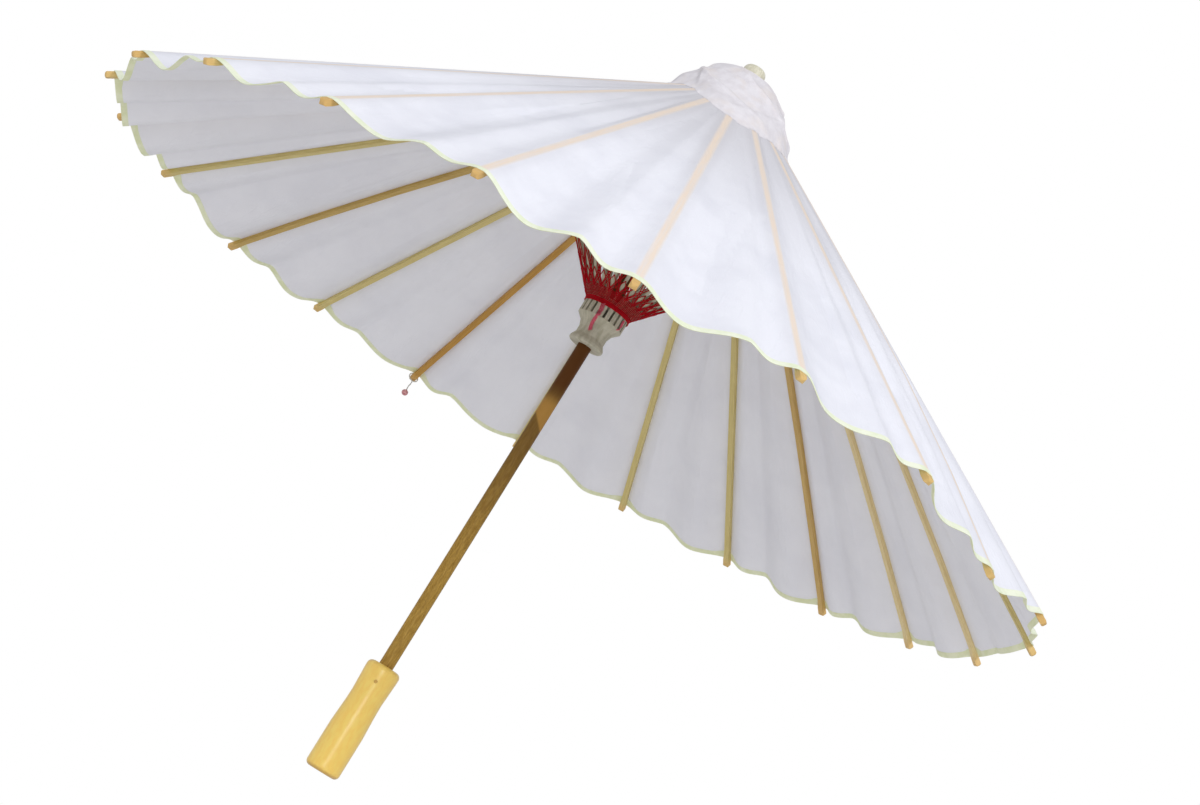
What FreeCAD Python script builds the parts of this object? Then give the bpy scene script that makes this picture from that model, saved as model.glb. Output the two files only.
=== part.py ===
import FreeCAD, Part
import math
import os

import Sketcher

# An oil paper umbrella, open. The origin is the centre of the handle's end face and +Z runs up the shaft.
# Twenty-two split bamboo ribs hinge on a thread round the upper notch, and twenty-two short ribs hinge on
# a thread round the runner and reach into slots in the long ribs. Lengths are in millimetres.

RIB_COUNT = 22
RIBS_UNDER_CAP_PLATE = 2
BEAD_RIB = 7

# Angles are in degrees, and every slope is measured from the horizontal.
DIMENSIONS = {
    "shaft_radius": 4.2,
    "shaft_foot": 12.0,
    "shaft_top": 465.4,
    "glue_gap": 0.05,
    "turned_edge": 0.7,
    "handle_length": 66.3,
    "handle_grip_radius": 10.2,
    "handle_waist_radius": 9.3,
    "handle_top_radius": 10.0,
    "handle_grip_length": 26.0,
    "handle_waist_start": 40.0,
    "handle_waist_start_radius": 9.45,
    "handle_waist_height": 47.0,
    "handle_collar_length": 5.0,
    "handle_edge_round": 3.0,
    "handle_pin_radius": 1.0,
    "handle_pin_half_length": 9.6,
    "handle_pin_height": 56.3,
    "rib_slope": 33.66,
    "top_pivot_radius": 9.0,
    "top_pivot_height": 446.7,
    "rib_length": 349.6,
    "rib_butt": 1.8,
    "rib_half_width": 1.85,
    "rib_top": 3.5,
    "rib_inner_underside": 1.0,
    "rib_outer_underside": 0.8,
    "rib_tip_length": 5.6,
    "rib_tip_slant": 6.0,
    "rib_tip_half_width": 2.0,
    "rib_tip_underside": 0.2,
    "rib_tongue_half_width": 0.65,
    "rib_tongue_top": 2.0,
    "rib_tongue_underside": 1.5,
    "rib_tongue_end": 13.0,
    "rib_shoulder": 19.0,
    "rib_slot_start": 79.0,
    "rib_slot_end": 128.0,
    "rib_slot_half_width": 0.75,
    "rib_thick_end": 134.0,
    "rib_thin_start": 160.0,
    "rib_end_round": 1.4,
    "rib_cut_reach": 16.0,
    "thread_hole_radius": 0.6,
    "thread_radius": 0.4,
    "short_rib_slope": 49.0,
    "short_rib_butt": 1.6,
    "short_rib_length": 121.715,
    "short_rib_half_width": 1.0,
    "short_rib_tongue_half_width": 0.6,
    "short_rib_root_half_height": 1.8,
    "short_rib_end_half_height": 1.5,
    "short_rib_overrun": 1.6,
    "short_rib_tongue_end": 13.0,
    "short_rib_thin_length": 38.0,
    "short_rib_step": 4.0,
    "notch_radius": 13.0,
    "notch_foot": 438.0,
    "notch_shoulder": 450.0,
    "notch_brow": 454.0,
    "notch_brow_radius": 8.6,
    "notch_crown": 455.0,
    "notch_crown_radius": 6.2,
    "notch_slot_floor_radius": 6.7,
    "notch_slot_top": 449.5,
    "notch_slot_half_width": 0.78,
    "notch_pin_radius": 0.8,
    "notch_pin_half_length": 8.6,
    "notch_pin_height": 452.3,
    "runner_bore_radius": 4.26,
    "runner_foot": 277.0,
    "runner_length": 28.5,
    "runner_flange_radius": 10.6,
    "runner_flange_height": 2.0,
    "runner_waist_start": 5.0,
    "runner_waist_end": 9.0,
    "runner_shoulder": 12.5,
    "runner_shoulder_radius": 10.35,
    "runner_head_start": 16.0,
    "runner_waist_radius": 8.95,
    "runner_head_radius": 13.8,
    "runner_pivot_radius": 10.0,
    "runner_pivot_height": 301.0,
    "runner_slot_floor_radius": 7.4,
    "runner_slot_floor": 293.5,
    "runner_slot_half_width": 0.72,
    "channel_radius": 0.6,
    "catch_half_width": 1.0,
    "catch_slot_half_width": 1.2,
    "catch_slot_foot": 226.0,
    "catch_slot_top": 276.9,
    "catch_slot_depth": 0.9,
    "catch_foot": 228.5,
    "catch_nose_height": 276.4,
    "catch_nose_radius": 7.4,
    "catch_pivot_height": 232.0,
    "catch_pivot_radius": 1.6,
    "catch_pin_radius": 0.7,
    "catch_pin_half_length": 3.3,
    "catch_bend_height": 249.5,
    "catch_heel": 0.2,
    "catch_front": 3.4,
    "catch_back": 3.2,
    "catch_back_bend_height": 241.0,
    "canopy_under": 4.05,
    "canopy_over": 4.55,
    "canopy_start": 5.0,
    "canopy_reach": 344.6,
    "rim_band_over": 4.8,
    "rim_band_width": 4.0,
    "cap_rim_radius": 40.5,
    "cap_rim_height": 432.8,
    "cap_skirt_radius": 33.0,
    "cap_skirt_height": 443.8,
    "cap_brow_radius": 19.0,
    "cap_brow_height": 456.8,
    "cap_crown_radius": 6.0,
    "cap_crown_height": 461.0,
    "cap_thickness": 0.6,
    "finial_foot": 461.7,
    "finial_length": 9.3,
    "finial_radius": 7.0,
    "finial_neck_radius": 5.6,
    "finial_neck_height": 2.0,
    "finial_round": 3.9,
    "finial_bore_top": 465.9,
    "lacing_start": 8.0,
    "lacing_end": 60.0,
    "lacing_gap": 2.3,
    "lacing_thickness": 0.5,
    "bead_radius": 2.2,
    "bead_drop": 9.5,
    "loop_place": 346.9,
    "loop_radius": 3.3,
}

# Ribs that bow downwards towards their tips, and by how much at the tip.
RIB_DROOPS = {1: 7.0, 2: 5.0, 3: 4.0, 9: 6.0, 17: 8.0, 20: 11.0}
DIMENSIONS.update({f"rib_{number:02d}_droop": droop for number, droop in RIB_DROOPS.items()})

CAP_RINGS = ("crown", "brow", "skirt", "rim")
CATCH_AZIMUTH = 97.4
HANDLE_PIN_AZIMUTH = 5.0

doc = FreeCAD.newDocument("oil_paper_umbrella")
sheet = doc.addObject("Spreadsheet::Sheet", "Sizes")
for row, (alias, number) in enumerate(DIMENSIONS.items(), start=1):
    sheet.set(f"A{row}", alias)
    sheet.set(f"B{row}", str(number))
    sheet.setAlias(f"B{row}", alias)
doc.recompute()

parts = []


def size(alias):
    """One driving dimension, read back from the sheet."""
    return float(sheet.get(alias))


def bound(expression):
    """The expression with each alias written as a cell of the sheet."""
    words = []
    word = ""
    for letter in expression + " ":
        if letter.isalnum() or letter in "_.":
            word += letter
            continue
        words.append("Sizes." + word if word in DIMENSIONS else word)
        words.append(letter)
        word = ""
    return "".join(words).strip()


def value(expression):
    """The number that an expression in the sheet's aliases comes to."""
    found = sheet.evalExpression(bound(expression))
    return float(getattr(found, "Value", found))


def bind(target, **expressions):
    """Bind properties of an object to expressions in the sheet's aliases."""
    for name, expression in expressions.items():
        target.setExpression(name, bound(expression))


def new_body(label):
    """A PartDesign body for one piece of the umbrella."""
    body = doc.addObject("PartDesign::Body", label)
    body.Label = label
    parts.append(body)
    return body


def origin_item(body, role):
    return next(item for item in body.Origin.OriginFeatures if item.Role == role)


def outline_sketch(body, name, plane, outlines, circles=()):
    """A sketch of closed straight-sided outlines and circles, every point bound to the sheet."""
    sketch = body.newObject("Sketcher::SketchObject", name)
    sketch.AttachmentSupport = [(origin_item(body, plane), "")]
    sketch.MapMode = "FlatFace"
    for outline in outlines:
        corners = [FreeCAD.Vector(value(x), value(y), 0) for x, y in outline]
        first = sketch.GeometryCount
        for start, end in zip(corners, corners[1:] + corners[:1]):
            sketch.addGeometry(Part.LineSegment(start, end), False)
        for index, (x, y) in enumerate(outline):
            line = first + index
            following = first + (index + 1) % len(outline)
            sketch.addConstraint(Sketcher.Constraint("Coincident", line, 2, following, 1))
            place_point(sketch, line, 1, x, y)
    for x, y, radius in circles:
        centre = FreeCAD.Vector(value(x), value(y), 0)
        ring = sketch.addGeometry(Part.Circle(centre, FreeCAD.Vector(0, 0, 1), value(radius)), False)
        place_point(sketch, ring, 3, x, y)
        number = sketch.addConstraint(Sketcher.Constraint("Radius", ring, value(radius)))
        sketch.setExpression(f"Constraints[{number}]", bound(radius))
    sketch.Visibility = False
    return sketch


def place_point(sketch, item, point, x, y):
    """Hold one point of a sketch at two expressions, measured from the sketch's origin."""
    for kind, expression in (("DistanceX", x), ("DistanceY", y)):
        distance = value(expression)
        number = sketch.addConstraint(Sketcher.Constraint(kind, -1, 1, item, point, distance))
        sketch.setExpression(f"Constraints[{number}]", bound(expression))


def turn(body, name, outline, kind="PartDesign::Revolution"):
    """Revolve an outline of (radius, height) points about the shaft's axis, adding or cutting."""
    sketch = outline_sketch(body, name + "_outline", "XZ_Plane", [outline])
    return turned_feature(body, name, sketch, kind)


def turned_feature(body, name, sketch, kind):
    feature = body.newObject(kind, name)
    feature.Profile = sketch
    feature.ReferenceAxis = (sketch, ["V_Axis"])
    feature.Angle = 360
    return feature


def pad_both_ways(body, name, sketch, half_length):
    """Pad a sketch the same distance to both sides of its plane."""
    pad = body.newObject("PartDesign::Pad", name)
    pad.Profile = sketch
    pad.SideType = "Symmetric"
    bind(pad, Length=f"2 * ({half_length})")
    return pad


def cut_both_ways(body, name, sketch, half_length):
    """Pocket a sketch the same distance to both sides of its plane."""
    pocket = body.newObject("PartDesign::Pocket", name)
    pocket.Profile = sketch
    pocket.SideType = "Symmetric"
    pocket.Type = "Length"
    bind(pocket, Length=f"2 * ({half_length})")
    return pocket


def slots_all_round(body, name, pocket):
    """Repeat a slot once for each rib, about the shaft's axis."""
    pattern = body.newObject("PartDesign::PolarPattern", name)
    pattern.Originals = [pocket]
    pattern.Axis = (origin_item(body, "Z_Axis"), [""])
    pattern.Angle = 360
    pattern.Occurrences = RIB_COUNT
    body.Tip = pattern
    return pattern


def round_edges(body, name, base, wanted, radius):
    """Fillet the edges of a feature that a test picks out."""
    doc.recompute()
    edges = [f"Edge{i}" for i, edge in enumerate(base.Shape.Edges, start=1) if wanted(edge)]
    fillet = body.newObject("PartDesign::Fillet", name)
    fillet.Base = (base, edges)
    bind(fillet, Radius=radius)
    return fillet


def thread_channel(body, name, radius, height):
    """Groove a round channel for a pivot thread, which crosses every slot of a notch."""
    sketch = outline_sketch(body, name + "_section", "XZ_Plane", [], [(radius, height, "channel_radius")])
    return turned_feature(body, name, sketch, "PartDesign::Groove")


def cross_hole(body, name, height, radius, reach, offset="0"):
    """Drill straight across a body along Y, at a height on its axis."""
    sketch = outline_sketch(body, name + "_centre", "XZ_Plane", [], [(offset, height, radius)])
    return cut_both_ways(body, name, sketch, reach)


def cross_pin(label, height, radius, half_length, offset="0"):
    """A bamboo pin that lies across the shaft, along Y before its body is turned."""
    pin = new_body(label)
    sketch = outline_sketch(pin, label + "_section", "XZ_Plane", [], [(offset, height, radius)])
    pad_both_ways(pin, label + "_length", sketch, half_length)
    return pin


def thread_ring(label, radius, height):
    """A closed ring of thread round the shaft's axis."""
    ring = doc.addObject("Part::Torus", label)
    ring.Label = label
    bind(ring, Radius1=radius, Radius2="thread_radius")
    ring.Placement = FreeCAD.Placement(FreeCAD.Vector(0, 0, size(height)), FreeCAD.Rotation())
    parts.append(ring)
    return ring


def turned_about_shaft(azimuth):
    """A placement that turns a piece about the shaft's axis."""
    return FreeCAD.Placement(FreeCAD.Vector(), FreeCAD.Rotation(FreeCAD.Vector(0, 0, 1), azimuth))


def rib_azimuth(number):
    return 360.0 * number / RIB_COUNT


def rib_placement(number, pivot_radius, pivot_height, slope):
    """Where a rib lies: its own X runs from its pivot outwards, at a slope below the horizontal."""
    azimuth = math.radians(rib_azimuth(number))
    pivot = FreeCAD.Vector(
        pivot_radius * math.cos(azimuth),
        pivot_radius * math.sin(azimuth),
        pivot_height,
    )
    about_shaft = FreeCAD.Rotation(FreeCAD.Vector(0, 0, 1), rib_azimuth(number))
    dip = FreeCAD.Rotation(FreeCAD.Vector(0, 1, 0), slope)
    return FreeCAD.Placement(pivot, about_shaft.multiply(dip))


def over_rib(number, along, above):
    """A point over a long rib's middle line, given by its place along the rib and above its line."""
    lie = rib_placement(number, size("top_pivot_radius"), size("top_pivot_height"), size("rib_slope"))
    return lie.multVec(FreeCAD.Vector(along, 0, above))


def flat_plate(corners):
    """A thin six-sided solid, its corners ordered by azimuth, then inner or outer, then under or over."""
    sides = [(0, 1, 3, 2), (4, 5, 7, 6), (0, 1, 5, 4), (2, 3, 7, 6), (0, 2, 6, 4), (1, 3, 7, 5)]
    faces = [Part.Face(Part.makePolygon([corners[i] for i in side + side[:1]])) for side in sides]
    return Part.makeSolid(Part.makeShell(faces))


def flat_gore(number, start, end, under, over):
    """A plate of paper from the middle line of one rib to that of the next."""
    return flat_plate([
        over_rib(rib, along, above)
        for rib in (number, number + 1)
        for along in (start, end)
        for above in (under, over)
    ])


def cap_plate(number, inner, outer):
    """A plate of the cap over two gaps between ribs, between two (radius, height) points."""
    return flat_plate([
        turned_about_shaft(rib_azimuth(rib)).multVec(FreeCAD.Vector(radius, 0, height + above))
        for rib in (number, number + RIBS_UNDER_CAP_PLATE)
        for radius, height in (inner, outer)
        for above in (0, size("cap_thickness"))
    ])


def add_plates(label, plates):
    """A sub-part made of thin plates that meet edge to edge."""
    skin = doc.addObject("Part::Feature", label)
    skin.Label = label
    skin.Shape = Part.makeCompound(plates)
    parts.append(skin)


def gores_all_round(label, start, end, under, over):
    """One flat gore for each gap between ribs, meeting edge to edge over the ribs."""
    add_plates(label, [flat_gore(rib, start, end, under, over) for rib in range(RIB_COUNT)])


def short_rib_point(along, below):
    """Radius and height of a point given by its place along a short rib and below the rib's line."""
    slope = "short_rib_slope * 1 deg"
    radius = f"runner_pivot_radius + ({along}) * cos({slope}) + ({below}) * sin({slope})"
    height = f"runner_pivot_height + ({along}) * sin({slope}) - ({below}) * cos({slope})"
    return radius, height


def make_shaft():
    """A round pole with a long slot for the catch and cross holes for the pins."""
    body = new_body("shaft")
    turn(body, "pole", [
        ("0", "shaft_foot"),
        ("shaft_radius", "shaft_foot"),
        ("shaft_radius", "shaft_top"),
        ("0", "shaft_top"),
    ])
    slot = outline_sketch(body, "catch_slot_outline", "XZ_Plane", [[
        ("-catch_slot_depth", "catch_slot_foot"),
        ("shaft_radius + 1", "catch_slot_foot"),
        ("shaft_radius + 1", "catch_slot_top"),
        ("-catch_slot_depth", "catch_slot_top"),
    ]])
    cut_both_ways(body, "catch_slot", slot, "catch_slot_half_width")
    cross_hole(body, "catch_pin_hole", "catch_pivot_height", "catch_pin_radius", "shaft_radius + 1",
               offset="catch_pivot_radius")
    body.Placement = turned_about_shaft(CATCH_AZIMUTH)
    across = [
        ("handle_pin_hole", "handle_pin_height", "handle_pin_radius + glue_gap", HANDLE_PIN_AZIMUTH),
        ("notch_pin_hole", "notch_pin_height", "notch_pin_radius + glue_gap", 0.0),
    ]
    for name, height, radius, azimuth in across:
        sketch = outline_sketch(body, name + "_centre", "XZ_Plane", [], [("0", height, radius)])
        sketch.AttachmentOffset = FreeCAD.Placement(
            FreeCAD.Vector(),
            FreeCAD.Rotation(FreeCAD.Vector(0, 1, 0), azimuth - CATCH_AZIMUTH),
        )
        cut_both_ways(body, name, sketch, "shaft_radius + 1")


def make_handle():
    """A turned grip, straight at its lower end and waisted above, glued and pinned to the shaft."""
    body = new_body("handle")
    grip = turn(body, "grip", [
        ("0", "0"),
        ("handle_grip_radius", "0"),
        ("handle_grip_radius", "handle_grip_length"),
        ("handle_waist_start_radius", "handle_waist_start"),
        ("handle_waist_radius", "handle_waist_height"),
        ("handle_top_radius", "handle_length - handle_collar_length"),
        ("handle_top_radius", "handle_length"),
        ("shaft_radius + glue_gap", "handle_length"),
        ("shaft_radius + glue_gap", "shaft_foot - glue_gap"),
        ("0", "shaft_foot - glue_gap"),
    ])

    def outer_rim(edge):
        flat = edge.BoundBox.ZLength < 0.01
        at_an_end = min(abs(edge.BoundBox.ZMin), abs(edge.BoundBox.ZMin - size("handle_length"))) < 0.01
        return flat and at_an_end and edge.BoundBox.XMax > size("handle_waist_radius")

    round_edges(body, "rounded_rims", grip, outer_rim, "handle_edge_round")
    cross_hole(body, "pin_hole", "handle_pin_height", "handle_pin_radius + glue_gap", "handle_grip_radius + 1")
    body.Placement = turned_about_shaft(HANDLE_PIN_AZIMUTH)


def make_upper_notch():
    """The turned hub at the top of the shaft, slotted for the long ribs' tongues."""
    body = new_body("upper_notch")
    turn(body, "hub", [
        ("shaft_radius + glue_gap", "notch_foot"),
        ("notch_radius", "notch_foot"),
        ("notch_radius", "notch_shoulder"),
        ("notch_brow_radius", "notch_brow"),
        ("notch_crown_radius", "notch_crown"),
        ("shaft_radius + glue_gap", "notch_crown"),
    ])
    cross_hole(body, "pin_hole", "notch_pin_height", "notch_pin_radius + glue_gap", "notch_radius")
    slot = outline_sketch(body, "slot_outline", "XZ_Plane", [[
        ("notch_slot_floor_radius", "notch_foot - 1"),
        ("notch_radius + 1", "notch_foot - 1"),
        ("notch_radius + 1", "notch_slot_top"),
        ("notch_slot_floor_radius", "notch_slot_top"),
    ]])
    slots_all_round(body, "slots", cut_both_ways(body, "slot", slot, "notch_slot_half_width"))
    thread_channel(body, "channel", "top_pivot_radius", "top_pivot_height")


def make_runner():
    """The sliding hub: a flanged foot, a waist to hold, and a slotted head for the short ribs."""
    body = new_body("runner")
    turn(body, "hub", [
        ("runner_bore_radius", "runner_foot"),
        ("runner_flange_radius - turned_edge", "runner_foot"),
        ("runner_flange_radius", "runner_foot + turned_edge"),
        ("runner_flange_radius", "runner_foot + runner_flange_height"),
        ("runner_waist_radius", "runner_foot + runner_waist_start"),
        ("runner_waist_radius", "runner_foot + runner_waist_end"),
        ("runner_shoulder_radius", "runner_foot + runner_shoulder"),
        ("runner_head_radius", "runner_foot + runner_head_start"),
        ("runner_head_radius", "runner_foot + runner_length - turned_edge"),
        ("runner_head_radius - turned_edge", "runner_foot + runner_length"),
        ("runner_bore_radius", "runner_foot + runner_length"),
    ])
    slot = outline_sketch(body, "slot_outline", "XZ_Plane", [[
        ("runner_slot_floor_radius", "runner_slot_floor"),
        ("runner_head_radius + 1", "runner_slot_floor"),
        ("runner_head_radius + 1", "runner_foot + runner_length + 1"),
        ("runner_slot_floor_radius", "runner_foot + runner_length + 1"),
    ]])
    slots_all_round(body, "slots", cut_both_ways(body, "slot", slot, "runner_slot_half_width"))
    thread_channel(body, "channel", "runner_pivot_radius", "runner_pivot_height")


def make_catch():
    """A bamboo leaf that stands out of its slot under the runner and is pressed in to close."""
    body = new_body("catch")
    leaf = outline_sketch(body, "leaf_outline", "XZ_Plane", [[
        ("catch_heel", "catch_foot"),
        ("catch_front", "catch_foot"),
        ("catch_front", "catch_bend_height"),
        ("catch_nose_radius", "catch_nose_height - turned_edge"),
        ("catch_nose_radius", "catch_nose_height"),
        ("catch_back", "catch_nose_height"),
        ("catch_heel", "catch_back_bend_height"),
    ]], [("catch_pivot_radius", "catch_pivot_height", "catch_pin_radius + glue_gap")])
    pad_both_ways(body, "leaf", leaf, "catch_half_width")
    body.Placement = turned_about_shaft(CATCH_AZIMUTH)


def make_pins():
    """The three cross pins: handle, catch and upper notch."""
    handle_pin = cross_pin("handle_pin", "handle_pin_height", "handle_pin_radius", "handle_pin_half_length")
    handle_pin.Placement = turned_about_shaft(HANDLE_PIN_AZIMUTH)
    catch_pin = cross_pin("catch_pin", "catch_pivot_height", "catch_pin_radius", "catch_pin_half_length",
                          offset="catch_pivot_radius")
    catch_pin.Placement = turned_about_shaft(CATCH_AZIMUTH)
    cross_pin("notch_pin", "notch_pin_height", "notch_pin_radius", "notch_pin_half_length")


def bowed(number, along, above):
    """A point on the outer part of a long rib, let down along a parabola if that rib bows."""
    if number not in RIB_DROOPS:
        return along, above
    share = f"({along} - rib_thin_start) / (rib_length - rib_thin_start)"
    return along, f"{above} - rib_{number:02d}_droop * ({share}) * ({share})"


def make_long_rib(number):
    """A split bamboo rib: a thin tongue with a thread hole, a long slot, and a thicker rounded tip."""
    body = new_body(f"long_rib_{number:02d}")
    tip_start = "rib_length - rib_tip_length"
    swell_start = f"{tip_start} - rib_tip_slant"
    bow_places = [f"rib_thin_start + {third} / 3 * (rib_length - rib_thin_start)" for third in (1, 2)]
    side = outline_sketch(body, "side", "XZ_Plane", [[
        ("-rib_butt", "-rib_tongue_underside"),
        ("rib_tongue_end", "-rib_tongue_underside"),
        ("rib_shoulder", "-rib_inner_underside"),
        ("rib_thick_end", "-rib_inner_underside"),
        ("rib_thin_start", "rib_outer_underside"),
        *[bowed(number, place, "rib_outer_underside") for place in bow_places],
        bowed(number, swell_start, "rib_outer_underside"),
        bowed(number, tip_start, "rib_tip_underside"),
        bowed(number, "rib_length", "rib_tip_underside"),
        bowed(number, "rib_length", "rib_top"),
        *[bowed(number, place, "rib_top") for place in reversed(bow_places)],
        ("rib_thin_start", "rib_top"),
        ("rib_shoulder", "rib_top"),
        ("rib_tongue_end", "rib_tongue_top"),
        ("-rib_butt", "rib_tongue_top"),
    ]], [("0", "0", "thread_hole_radius")])
    pad_both_ways(body, "blank", side, "rib_tip_half_width")
    shaved = [
        ("-2 * rib_butt", "rib_tongue_half_width"),
        ("rib_tongue_end", "rib_tongue_half_width"),
        ("rib_slot_start", "rib_half_width"),
        (swell_start, "rib_half_width"),
        (tip_start, "rib_tip_half_width"),
        (tip_start, "2 * rib_tip_half_width"),
        ("-2 * rib_butt", "2 * rib_tip_half_width"),
    ]
    other_side = [(x, f"-({y})") for x, y in shaved]
    slot = [
        ("rib_slot_start", "-rib_slot_half_width"),
        ("rib_slot_end", "-rib_slot_half_width"),
        ("rib_slot_end", "rib_slot_half_width"),
        ("rib_slot_start", "rib_slot_half_width"),
    ]
    plan = outline_sketch(body, "plan", "XY_Plane", [shaved, other_side, slot])
    shaved_blank = cut_both_ways(body, "taper_and_slot", plan, "rib_cut_reach")

    def tip_edge(edge):
        return edge.BoundBox.XMin > size("rib_length") - 0.01

    round_edges(body, "rounded_tip", shaved_blank, tip_edge, "rib_end_round")
    body.Placement = rib_placement(number, size("top_pivot_radius"), size("top_pivot_height"), size("rib_slope"))


def make_short_rib(number):
    """A stretcher: a tongue in the runner, a thicker middle, and a thin end in the long rib's slot."""
    body = new_body(f"short_rib_{number:02d}")
    side = outline_sketch(body, "side", "XZ_Plane", [[
        ("-short_rib_butt", "-0.6 * short_rib_root_half_height"),
        ("-0.5 * short_rib_butt", "-short_rib_root_half_height"),
        ("short_rib_tongue_end", "-short_rib_root_half_height"),
        ("short_rib_length", "-short_rib_end_half_height"),
        ("short_rib_length + short_rib_overrun", "-0.4 * short_rib_end_half_height"),
        ("short_rib_length + short_rib_overrun", "0.4 * short_rib_end_half_height"),
        ("short_rib_length", "short_rib_end_half_height"),
        ("short_rib_tongue_end", "short_rib_root_half_height"),
        ("-0.5 * short_rib_butt", "short_rib_root_half_height"),
        ("-short_rib_butt", "0.6 * short_rib_root_half_height"),
    ]], [
        ("0", "0", "thread_hole_radius"),
        ("short_rib_length", "0", "thread_hole_radius"),
    ])
    pad_both_ways(body, "blank", side, "short_rib_half_width")
    outside = "short_rib_half_width + 0.1"
    before = "-2 * short_rib_butt"
    near_end = [
        (before, "short_rib_tongue_half_width"),
        ("short_rib_tongue_end", "short_rib_tongue_half_width"),
        ("short_rib_tongue_end + short_rib_step", outside),
        (before, outside),
    ]
    thin_from = "short_rib_length - short_rib_thin_length"
    beyond = "short_rib_length + 2 * short_rib_overrun"
    far_end = [
        (f"{thin_from} - short_rib_step", outside),
        (thin_from, "short_rib_tongue_half_width"),
        (beyond, "short_rib_tongue_half_width"),
        (beyond, outside),
    ]
    shaved = [near_end, far_end]
    mirrored = [[(x, f"-({y})") for x, y in outline] for outline in shaved]
    plan = outline_sketch(body, "plan", "XY_Plane", shaved + mirrored)
    cut_both_ways(body, "thinned_ends", plan, "short_rib_root_half_height + 1")
    body.Placement = rib_placement(
        number, size("runner_pivot_radius"), size("runner_pivot_height"), -size("short_rib_slope")
    )


def make_canopy():
    """The paper glued over the ribs and the narrow band that binds its edge."""
    reach = size("canopy_reach")
    over = size("canopy_over")
    gores_all_round("canopy", size("canopy_start"), reach, size("canopy_under"), over)
    gores_all_round("rim_band", reach - size("rim_band_width"), reach, over, size("rim_band_over"))


def make_cap():
    """The puffed paper cap over the upper notch, drawn in under the finial."""
    profile = [(size(f"cap_{ring}_radius"), size(f"cap_{ring}_height")) for ring in CAP_RINGS]
    add_plates("cap", [
        cap_plate(rib, inner, outer)
        for inner, outer in zip(profile, profile[1:])
        for rib in range(0, RIB_COUNT, RIBS_UNDER_CAP_PLATE)
    ])


def make_finial():
    """A turned knob with a blind bore, glued on the end of the shaft."""
    body = new_body("finial")
    foot = "finial_foot"
    knob = turn(body, "knob", [
        ("shaft_radius + glue_gap", foot),
        ("finial_neck_radius", foot),
        ("finial_radius", f"{foot} + finial_neck_height"),
        ("finial_radius", f"{foot} + finial_length"),
        ("0", f"{foot} + finial_length"),
        ("0", "finial_bore_top"),
        ("shaft_radius + glue_gap", "finial_bore_top"),
    ])
    top = size("finial_foot") + size("finial_length")

    def top_rim(edge):
        box = edge.BoundBox
        return box.ZLength < 0.01 and box.ZMin > top - 0.01 and box.XMax > 1

    round_edges(body, "rounded_crown", knob, top_rim, "finial_round")


def make_lacing():
    """The cone of thread laced round the short ribs just above the runner."""
    body = new_body("lacing")
    near = "lacing_gap"
    far = "lacing_gap + lacing_thickness"
    turn(body, "web", [
        short_rib_point("lacing_start", near),
        short_rib_point("lacing_start", far),
        short_rib_point("lacing_end", far),
        short_rib_point("lacing_end", near),
    ])


def make_closing_bead():
    """A thread loop round one rib's tip, with the bead that hangs from it."""
    ring = doc.addObject("Part::Torus", "loop_ring")
    bind(ring, Radius1="loop_radius", Radius2="thread_radius")
    middle = 0.5 * (size("rib_top") + size("rib_tip_underside"))
    ring.Placement = FreeCAD.Placement(
        FreeCAD.Vector(size("loop_place"), 0, middle),
        FreeCAD.Rotation(FreeCAD.Vector(0, 1, 0), 90),
    )
    slope = size("rib_slope")
    down = FreeCAD.Rotation(FreeCAD.Vector(0, 1, 0), 180 - slope)
    foot_of_ring = FreeCAD.Vector(size("loop_place"), 0, middle - size("loop_radius"))
    hanging = down.multVec(FreeCAD.Vector(0, 0, 1))
    thread = doc.addObject("Part::Cylinder", "loop_thread")
    bind(thread, Radius="thread_radius", Height="bead_drop")
    thread.Placement = FreeCAD.Placement(foot_of_ring, down)
    bead = doc.addObject("Part::Sphere", "bead")
    bind(bead, Radius="bead_radius")
    bead.Placement = FreeCAD.Placement(foot_of_ring + hanging * size("bead_drop"), FreeCAD.Rotation())
    fused = doc.addObject("Part::MultiFuse", "closing_bead")
    fused.Label = "closing_bead"
    fused.Shapes = [ring, thread, bead]
    fused.Placement = rib_placement(BEAD_RIB, size("top_pivot_radius"), size("top_pivot_height"), slope)
    parts.append(fused)


make_shaft()
make_handle()
make_pins()
make_upper_notch()
make_runner()
make_catch()
thread_ring("upper_notch_thread", "top_pivot_radius", "top_pivot_height")
thread_ring("runner_thread", "runner_pivot_radius", "runner_pivot_height")
for rib in range(RIB_COUNT):
    make_long_rib(rib)
    make_short_rib(rib)
make_canopy()
make_cap()
make_finial()
make_lacing()
make_closing_bead()
doc.recompute()

failed = [item.Name for item in doc.Objects if {"Invalid", "Error"} & set(item.State)]
failed += [part.Label for part in parts if part.Shape.isNull() or not part.Shape.isValid()]
if failed:
    raise SystemExit(f"these did not build: {failed}")

os.makedirs("parts", exist_ok=True)
for part in parts:
    part.Shape.exportStep(f"parts/{part.Label}.step")
    box = part.Shape.BoundBox
    print(part.Label, len(part.Shape.Solids), round(part.Shape.Volume, 1),
          [round(side, 1) for side in (box.XMin, box.YMin, box.ZMin, box.XMax, box.YMax, box.ZMax)])
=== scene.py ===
import math
import random

import bpy
import numpy as np
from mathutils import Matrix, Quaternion, Vector


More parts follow.
